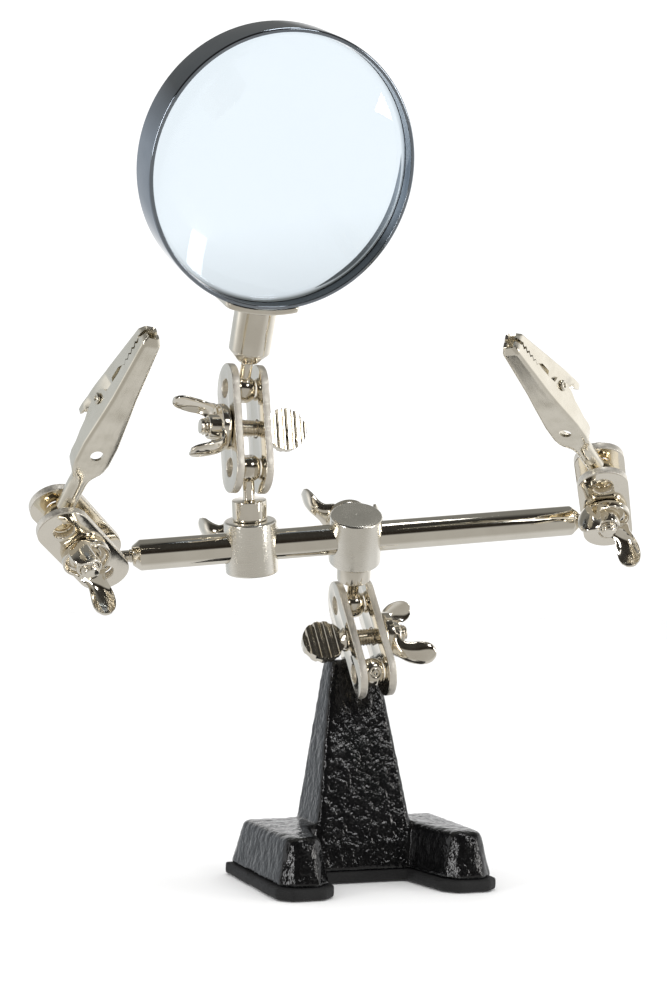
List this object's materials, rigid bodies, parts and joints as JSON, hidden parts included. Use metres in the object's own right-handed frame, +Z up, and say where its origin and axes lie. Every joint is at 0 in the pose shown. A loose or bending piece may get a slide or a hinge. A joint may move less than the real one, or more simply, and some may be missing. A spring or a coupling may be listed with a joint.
{
  "type": "helping hands clamp with magnifier",
  "caption": "Free-standing bench helper: cast base, ball-clamped crossbar with a crocodile clip at each end and a round magnifier on a sliding ball clamp.",
  "frame": {"origin": "on the bench plane, at the underside of the rubber pad, on the base's centre line and 3 mm behind the rear edge of its front notch", "axes": "+Z up, -Y towards the open front of the base, +X towards the right-hand clip"},
  "size_m": [0.1409, 0.0733, 0.185],
  "materials": {
    "black_paint": "black wrinkle enamel over a casting",
    "base_rubber": "fine-grained black rubber",
    "plate_nickel": "bright nickel faces with sheared edges",
    "stamped_nickel": "bright nickel over stamped steel",
    "turned_nickel": "bright nickel over turned steel",
    "stud_brass": "turned brass",
    "satin_nickel": "satin nickel with turning marks",
    "bar_nickel": "polished nickel",
    "ring_chrome": "bright chrome band",
    "handle_nickel": "bright nickel",
    "lens_glass": "clear ground glass",
    "clip_nickel": "nickel over pressed sheet steel",
    "spring_steel": "drawn spring wire"
  },
  "bodies": {
    "base": {"base_casting": "black_paint", "base_pad": "base_rubber"},
    "base_stud": {"base_ball_stud": "turned_nickel"},
    "lower_clamp": {"lower_clamp_nut_plate": "plate_nickel", "lower_clamp_head_plate": "plate_nickel"},
    "lower_clamp_thumbscrew": {"lower_clamp_thumbscrew": "stamped_nickel"},
    "lower_clamp_wing_nut": {"lower_clamp_wing_nut": "stamped_nickel"},
    "cross_stud": {"cross_clamp_ball_stud": "turned_nickel"},
    "cross_clamp": {"cross_clamp_body": "satin_nickel"},
    "cross_clamp_wing_screw": {"cross_clamp_wing_screw": "stamped_nickel"},
    "crossbar": {"crossbar": "bar_nickel"},
    "slider": {"slider_body": "satin_nickel"},
    "slider_wing_screw": {"slider_wing_screw": "stamped_nickel"},
    "slider_stud": {"slider_ball_stud": "turned_nickel"},
    "magnifier_clamp": {"magnifier_clamp_nut_plate": "plate_nickel", "magnifier_clamp_head_plate": "plate_nickel"},
    "magnifier_clamp_thumbscrew": {"magnifier_clamp_thumbscrew": "stamped_nickel"},
    "magnifier_clamp_wing_nut": {"magnifier_clamp_wing_nut": "stamped_nickel"},
    "magnifier_stud": {"magnifier_ball_stud": "turned_nickel"},
    "magnifier": {"magnifier_handle": "handle_nickel", "ring_saddle": "handle_nickel", "lens_ring": "ring_chrome", "lens": "lens_glass"},
    "left_bar_ball": {"crossbar_left_ball": "turned_nickel"},
    "left_clamp": {"left_clamp_nut_plate": "plate_nickel", "left_clamp_head_plate": "plate_nickel"},
    "left_clamp_thumbscrew": {"left_clamp_thumbscrew": "stamped_nickel"},
    "left_clamp_wing_nut": {"left_clamp_wing_nut": "stamped_nickel"},
    "left_clip_stud": {"left_clip_ball_stud": "stud_brass"},
    "left_clip": {"left_clip_fixed_jaw": "clip_nickel", "left_clip_rivet": "clip_nickel", "left_clip_spring": "spring_steel"},
    "left_moving_jaw": {"left_clip_moving_jaw": "clip_nickel"},
    "right_bar_ball": {"crossbar_right_ball": "turned_nickel"},
    "right_clamp": {"right_clamp_nut_plate": "plate_nickel", "right_clamp_head_plate": "plate_nickel"},
    "right_clamp_thumbscrew": {"right_clamp_thumbscrew": "stamped_nickel"},
    "right_clamp_wing_nut": {"right_clamp_wing_nut": "stamped_nickel"},
    "right_clip_stud": {"right_clip_ball_stud": "stud_brass"},
    "right_clip": {"right_clip_fixed_jaw": "clip_nickel", "right_clip_rivet": "clip_nickel", "right_clip_spring": "spring_steel"},
    "right_moving_jaw": {"right_clip_moving_jaw": "clip_nickel"}
  },
  "joints": [
    {"name": "base_twist", "type": "hinge", "parent": "base", "child": "base_stud", "pos_m": [0.001, -0.00097, 0.0473], "axis": [0, -1, 0], "range_deg": [-25, 15]},
    {"name": "lower_clamp_tilt", "type": "hinge", "parent": "base_stud", "child": "lower_clamp", "pos_m": [0.001, -0.00097, 0.0473], "axis": [0.9898, -0.0806, 0.1178], "range_deg": [-3, 45]},
    {"name": "cross_stud_tilt", "type": "hinge", "parent": "lower_clamp", "child": "cross_stud", "pos_m": [0.00002, 0.00944, 0.06268], "axis": [0.9898, -0.0806, 0.1178], "range_deg": [-35, 15]},
    {"name": "cross_clamp_swivel", "type": "hinge", "parent": "cross_stud", "child": "cross_clamp", "pos_m": [-0.00301, 0.00028, 0.07788], "axis": [-0.1682, -0.5087, 0.8443], "range_deg": [-45, 20]},
    {"name": "crossbar_slide", "type": "slide", "parent": "cross_clamp", "child": "crossbar", "axis": [0.9827, -0.154, 0.103], "range_m": [-0.025, 0.001]},
    {"name": "slider_slide", "type": "slide", "parent": "crossbar", "child": "slider", "axis": [0.9827, -0.154, 0.103], "range_m": [-0.012, 0.001]},
    {"name": "slider_swivel", "type": "hinge", "parent": "slider", "child": "slider_stud", "pos_m": [-0.02679, 0.00401, 0.07539], "axis": [-0.1377, -0.2349, 0.9622], "range_deg": [-60, 60]},
    {"name": "magnifier_clamp_tilt", "type": "hinge", "parent": "slider_stud", "child": "magnifier_clamp", "pos_m": [-0.02927, -0.00022, 0.09271], "axis": [-0.9996, -0.0262, -0.0125], "range_deg": [-35, 35]},
    {"name": "magnifier_stud_tilt", "type": "hinge", "parent": "magnifier_clamp", "child": "magnifier_stud", "pos_m": [-0.0296, 0.00373, 0.11088], "axis": [-0.9996, -0.0262, -0.0125], "range_deg": [-30, 30]},
    {"name": "magnifier_twist", "type": "hinge", "parent": "magnifier_stud", "child": "magnifier", "pos_m": [-0.0296, 0.00373, 0.11088], "axis": [-0.0008, -0.4524, 0.8918], "range_deg": [-60, 60]},
    {"name": "cross_clamp_screw_turn", "type": "hinge", "parent": "cross_clamp", "child": "cross_clamp_wing_screw", "pos_m": [-0.00301, 0.00028, 0.07788], "axis": [0.0776, 0.847, 0.5258], "range_deg": [-180, 180]},
    {"name": "slider_screw_turn", "type": "hinge", "parent": "slider", "child": "slider_wing_screw", "pos_m": [-0.02679, 0.00401, 0.07539], "axis": [0.124, 0.9597, 0.252], "range_deg": [-180, 180]},
    {"name": "left_bar_ball_twist", "type": "hinge", "parent": "crossbar", "child": "left_bar_ball", "pos_m": [-0.0603, 0.00926, 0.07188], "axis": [-0.9827, 0.154, -0.103], "range_deg": [-60, 60]},
    {"name": "left_clamp_tilt", "type": "hinge", "parent": "left_bar_ball", "child": "left_clamp", "pos_m": [-0.0603, 0.00926, 0.07188], "axis": [0.1357, -0.6484, -0.7491], "range_deg": [-30, 30]},
    {"name": "left_clip_stud_tilt", "type": "hinge", "parent": "left_clamp", "child": "left_clip_stud", "pos_m": [-0.07161, -0.00286, 0.08032], "axis": [0.1357, -0.6484, -0.7491], "range_deg": [-30, 30]},
    {"name": "left_clip_twist", "type": "hinge", "parent": "left_clip_stud", "child": "left_clip", "pos_m": [-0.07161, -0.00286, 0.08032], "axis": [0.1989, -0.7221, 0.6626], "range_deg": [-180, 180]},
    {"name": "left_jaw_open", "type": "hinge", "parent": "left_clip", "child": "left_moving_jaw", "pos_m": [-0.06555, -0.02388, 0.10313], "axis": [-0.9768, -0.2009, 0.0743], "range_deg": [0, 30], "stiffness_Nm_per_rad": 0.05, "springref_deg": -28.65},
    {"name": "right_bar_ball_twist", "type": "hinge", "parent": "crossbar", "child": "right_bar_ball", "pos_m": [0.05683, -0.0091, 0.08415], "axis": [0.9827, -0.154, 0.103], "range_deg": [-60, 60]},
    {"name": "right_clamp_tilt", "type": "hinge", "parent": "right_bar_ball", "child": "right_clamp", "pos_m": [0.05683, -0.0091, 0.08415], "axis": [-0.1479, -0.509, -0.848], "range_deg": [-40, 2]},
    {"name": "right_clip_stud_tilt", "type": "hinge", "parent": "right_clamp", "child": "right_clip_stud", "pos_m": [0.0478, -0.02229, 0.09365], "axis": [-0.1479, -0.509, -0.848], "range_deg": [-30, 30]},
    {"name": "right_clip_twist", "type": "hinge", "parent": "right_clip_stud", "child": "right_clip", "pos_m": [0.0478, -0.02229, 0.09365], "axis": [-0.721, -0.5315, 0.4446], "range_deg": [-180, 180]},
    {"name": "right_jaw_open", "type": "hinge", "parent": "right_clip", "child": "right_moving_jaw", "pos_m": [0.02593, -0.03823, 0.10998], "axis": [-0.6129, 0.7885, -0.0511], "range_deg": [0, 30], "stiffness_Nm_per_rad": 0.05, "springref_deg": -28.65},
    {"name": "lower_wing_nut_turn", "type": "hinge", "parent": "lower_clamp", "child": "lower_clamp_wing_nut", "pos_m": [0.00051, 0.00423, 0.05499], "axis": [0.9898, -0.0806, 0.1178], "range_deg": [0, 360]},
    {"name": "lower_thumbscrew_release", "type": "slide", "parent": "lower_clamp", "child": "lower_clamp_thumbscrew", "axis": [-0.9898, 0.0806, -0.1178], "range_m": [0, 0.0007]},
    {"name": "magnifier_wing_nut_turn", "type": "hinge", "parent": "magnifier_clamp", "child": "magnifier_clamp_wing_nut", "pos_m": [-0.02944, 0.00176, 0.1018], "axis": [-0.9996, -0.0262, -0.0125], "range_deg": [0, 360]},
    {"name": "magnifier_thumbscrew_release", "type": "slide", "parent": "magnifier_clamp", "child": "magnifier_clamp_thumbscrew", "axis": [0.9996, 0.0262, 0.0125], "range_m": [0, 0.0007]},
    {"name": "left_wing_nut_turn", "type": "hinge", "parent": "left_clamp", "child": "left_clamp_wing_nut", "pos_m": [-0.06595, 0.0032, 0.0761], "axis": [0.1357, -0.6484, -0.7491], "range_deg": [0, 360]},
    {"name": "left_thumbscrew_release", "type": "slide", "parent": "left_clamp", "child": "left_clamp_thumbscrew", "axis": [-0.1357, 0.6484, 0.7491], "range_m": [0, 0.0007]},
    {"name": "right_wing_nut_turn", "type": "hinge", "parent": "right_clamp", "child": "right_clamp_wing_nut", "pos_m": [0.05232, -0.0157, 0.0889], "axis": [-0.1479, -0.509, -0.848], "range_deg": [0, 360]},
    {"name": "right_thumbscrew_release", "type": "slide", "parent": "right_clamp", "child": "right_clamp_thumbscrew", "axis": [0.1479, 0.509, 0.848], "range_m": [0, 0.0007]}
  ],
  "couplings": [
    {"joint": "lower_wing_nut_turn", "follows": "lower_thumbscrew_release", "rad_per_m": 8975.1},
    {"joint": "magnifier_wing_nut_turn", "follows": "magnifier_thumbscrew_release", "rad_per_m": 8975.1},
    {"joint": "left_wing_nut_turn", "follows": "left_thumbscrew_release", "rad_per_m": 8975.1},
    {"joint": "right_wing_nut_turn", "follows": "right_thumbscrew_release", "rad_per_m": 8975.1}
  ]
}
